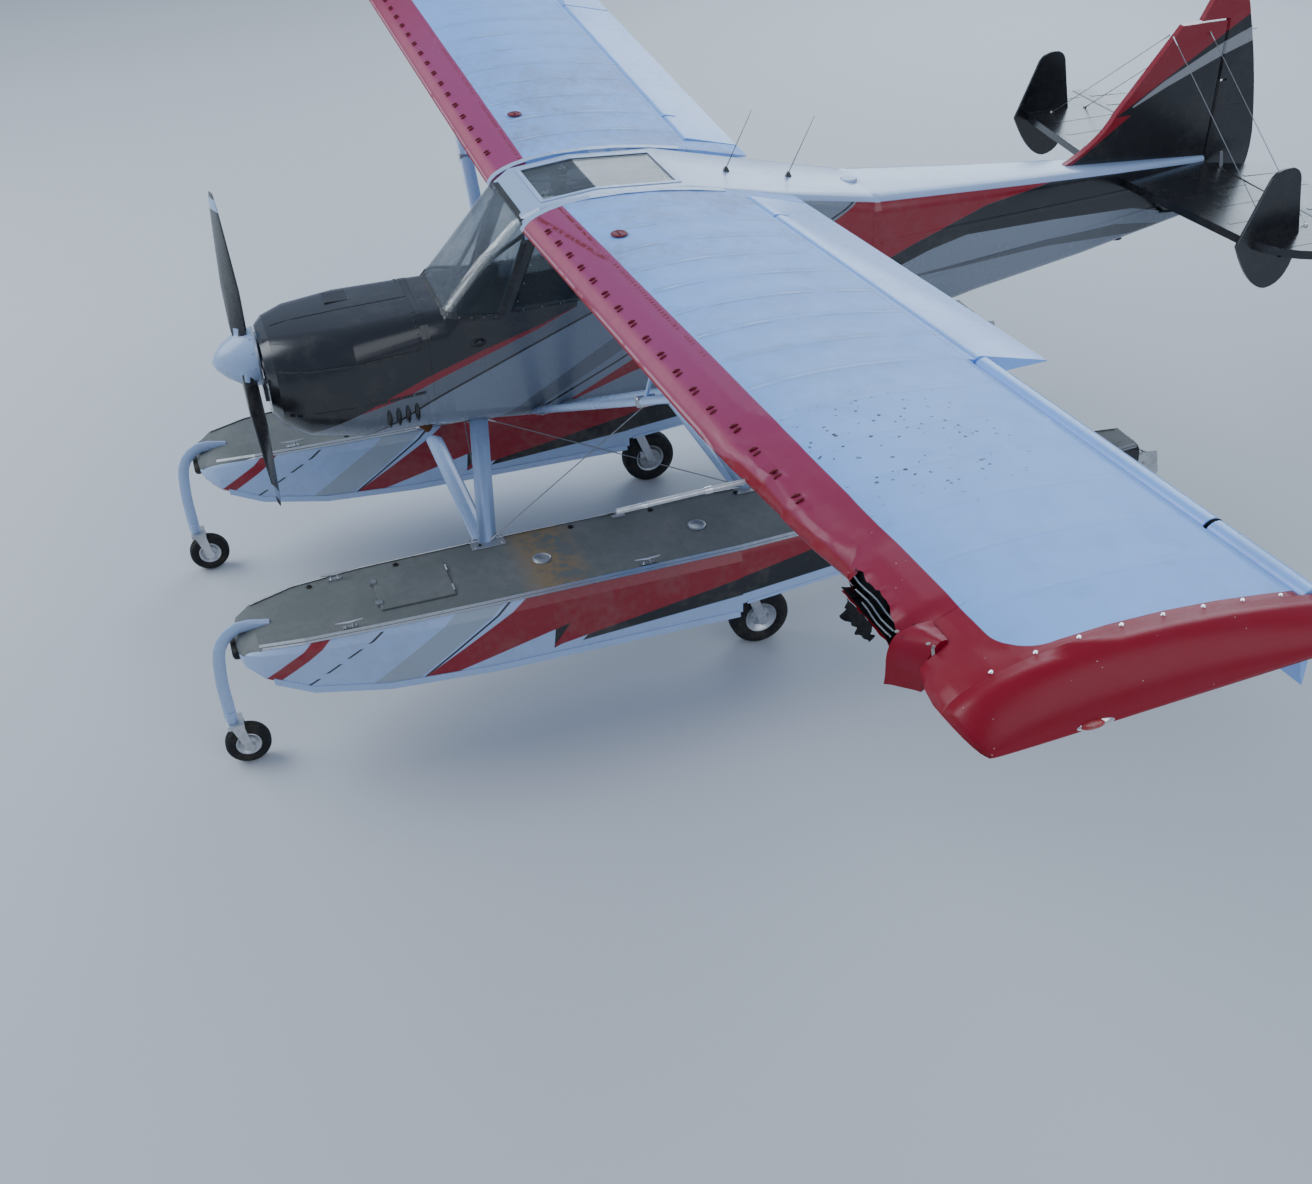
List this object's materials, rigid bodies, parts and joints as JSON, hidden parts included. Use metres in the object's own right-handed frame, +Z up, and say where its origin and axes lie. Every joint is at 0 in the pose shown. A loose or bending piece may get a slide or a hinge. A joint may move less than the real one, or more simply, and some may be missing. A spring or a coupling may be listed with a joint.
{
  "type": "light floatplane",
  "caption": "Strut-braced high-wing two-seat aircraft on amphibious floats, with a crushed left wing leading edge and a hanging aileron.",
  "frame": {"origin": "on the ground plane under the middle of the bounding box", "axes": "+Z up, the nose points to -Y, the aircraft's left wing to +X"},
  "size_m": [10.6, 7.245, 3.345],
  "materials": {
    "white_fabric": "white doped fabric",
    "red_fabric": "red doped fabric",
    "black_fabric": "black doped fabric",
    "red_paint": "gloss red paint",
    "white_paint": "gloss white paint",
    "black_paint": "gloss black paint",
    "float_paint": "painted sheet alloy",
    "bare_alloy": "bare alloy",
    "engine_metal": "plain engine block",
    "clear_glazing": "clear plastic glazing",
    "panel_black": "matte black",
    "seat_cloth": "upholstery cloth",
    "tyre_rubber": "black rubber on an alloy hub"
  },
  "bodies": {
    "airframe": {"cabin": "white_fabric", "tail_cone": "white_fabric", "engine_cowl": "black_paint", "engine_block": "engine_metal", "windshield": "clear_glazing", "window_left": "clear_glazing", "window_right_front": "clear_glazing", "window_right_rear": "clear_glazing", "skylight": "clear_glazing", "instrument_panel": "panel_black", "seat_front": "seat_cloth", "seat_rear": "seat_cloth", "fin": "red_fabric", "pitot_boom": "bare_alloy", "spreader_bar_front": "white_paint", "spreader_bar_rear": "white_paint", "wing_left": "white_fabric", "wing_tip_left": "red_paint", "lift_strut_front_left": "white_paint", "lift_strut_rear_left": "white_paint", "stabilizer_left": "black_fabric", "float_left": "float_paint", "float_strut_front_left": "white_paint", "float_strut_rear_left": "white_paint", "nose_leg_left": "bare_alloy", "main_leg_left": "bare_alloy", "tail_brace_left": "white_paint", "wing_right": "white_fabric", "wing_tip_right": "red_paint", "lift_strut_front_right": "white_paint", "lift_strut_rear_right": "white_paint", "stabilizer_right": "black_fabric", "float_right": "float_paint", "float_strut_front_right": "white_paint", "float_strut_rear_right": "white_paint", "nose_leg_right": "bare_alloy", "main_leg_right": "bare_alloy", "tail_brace_right": "white_paint"},
    "propeller": {"propeller": "white_paint"},
    "elevator": {"elevator_left": "black_fabric", "elevator_right": "black_fabric"},
    "rudder": {"rudder": "red_fabric"},
    "door_lower": {"door_lower": "black_paint"},
    "door_upper": {"door_upper": "black_paint", "door_window": "clear_glazing"},
    "flap_left": {"flap_left": "white_fabric"},
    "aileron_left": {"aileron_left": "white_fabric"},
    "main_wheel_left": {"main_wheel_left": "tyre_rubber"},
    "nose_fork_left": {"nose_fork_left": "bare_alloy"},
    "nose_wheel_left": {"nose_wheel_left": "tyre_rubber"},
    "water_rudder_left": {"water_rudder_left": "bare_alloy"},
    "flap_right": {"flap_right": "white_fabric"},
    "aileron_right": {"aileron_right": "white_fabric"},
    "main_wheel_right": {"main_wheel_right": "tyre_rubber"},
    "nose_fork_right": {"nose_fork_right": "bare_alloy"},
    "nose_wheel_right": {"nose_wheel_right": "tyre_rubber"},
    "water_rudder_right": {"water_rudder_right": "bare_alloy"}
  },
  "joints": [
    {"name": "propeller_spin", "type": "hinge", "parent": "airframe", "child": "propeller", "pos_m": [0, -3.0525, 1.99], "axis": [0, 1, 0], "continuous": true},
    {"name": "main_wheel_left_roll", "type": "hinge", "parent": "airframe", "child": "main_wheel_left", "pos_m": [1.05, -0.3325, 0.19], "axis": [1, 0, 0], "continuous": true},
    {"name": "nose_fork_left_caster", "type": "hinge", "parent": "airframe", "child": "nose_fork_left", "pos_m": [1.05, -3.5545, 0.3], "axis": [0, 0, 1], "range_deg": [-60, 60]},
    {"name": "nose_wheel_left_roll", "type": "hinge", "parent": "nose_fork_left", "child": "nose_wheel_left", "pos_m": [1.05, -3.4925, 0.13], "axis": [1, 0, 0], "continuous": true},
    {"name": "aileron_left_hinge", "type": "hinge", "parent": "airframe", "child": "aileron_left", "pos_m": [0.362, -0.1825, 2.623], "axis": [0.9972, 0, 0.0752], "range_deg": [0, 98]},
    {"name": "flap_left_hinge", "type": "hinge", "parent": "airframe", "child": "flap_left", "pos_m": [0.362, -0.1825, 2.623], "axis": [0.9972, 0, 0.0752], "range_deg": [-38, 0]},
    {"name": "main_wheel_right_roll", "type": "hinge", "parent": "airframe", "child": "main_wheel_right", "pos_m": [-1.05, -0.3325, 0.19], "axis": [1, 0, 0], "continuous": true},
    {"name": "nose_fork_right_caster", "type": "hinge", "parent": "airframe", "child": "nose_fork_right", "pos_m": [-1.05, -3.5545, 0.3], "axis": [0, 0, 1], "range_deg": [-60, 60]},
    {"name": "nose_wheel_right_roll", "type": "hinge", "parent": "nose_fork_right", "child": "nose_wheel_right", "pos_m": [-1.05, -3.4925, 0.13], "axis": [1, 0, 0], "continuous": true},
    {"name": "aileron_right_hinge", "type": "hinge", "parent": "airframe", "child": "aileron_right", "pos_m": [-0.362, -0.1825, 2.623], "axis": [0.9972, 0, -0.0752], "range_deg": [-20, 18]},
    {"name": "flap_right_hinge", "type": "hinge", "parent": "airframe", "child": "flap_right", "pos_m": [-0.362, -0.1825, 2.623], "axis": [0.9972, 0, -0.0752], "range_deg": [-38, 0]},
    {"name": "elevator_hinge", "type": "hinge", "parent": "airframe", "child": "elevator", "pos_m": [0, 3.2625, 2.21], "axis": [1, 0, 0], "range_deg": [-20, 25]},
    {"name": "rudder_hinge", "type": "hinge", "parent": "airframe", "child": "rudder", "pos_m": [0, 3.2625, 2.63], "axis": [0, 0, 1], "range_deg": [-25, 25]},
    {"name": "door_lower_hinge", "type": "hinge", "parent": "airframe", "child": "door_lower", "pos_m": [-0.3705, -0.7325, 1.5875], "axis": [0, 1, 0], "range_deg": [-95, 0]},
    {"name": "door_upper_hinge", "type": "hinge", "parent": "airframe", "child": "door_upper", "pos_m": [-0.3705, -0.7325, 2.5605], "axis": [0, 1, 0], "range_deg": [0, 80]},
    {"name": "water_rudder_left_hinge", "type": "hinge", "parent": "airframe", "child": "water_rudder_left", "pos_m": [1.05, 2.2545, 0.73], "axis": [0, 0, 1], "range_deg": [-30, 30]},
    {"name": "water_rudder_right_hinge", "type": "hinge", "parent": "airframe", "child": "water_rudder_right", "pos_m": [-1.05, 2.2545, 0.73], "axis": [0, 0, 1], "range_deg": [-30, 30]}
  ]
}
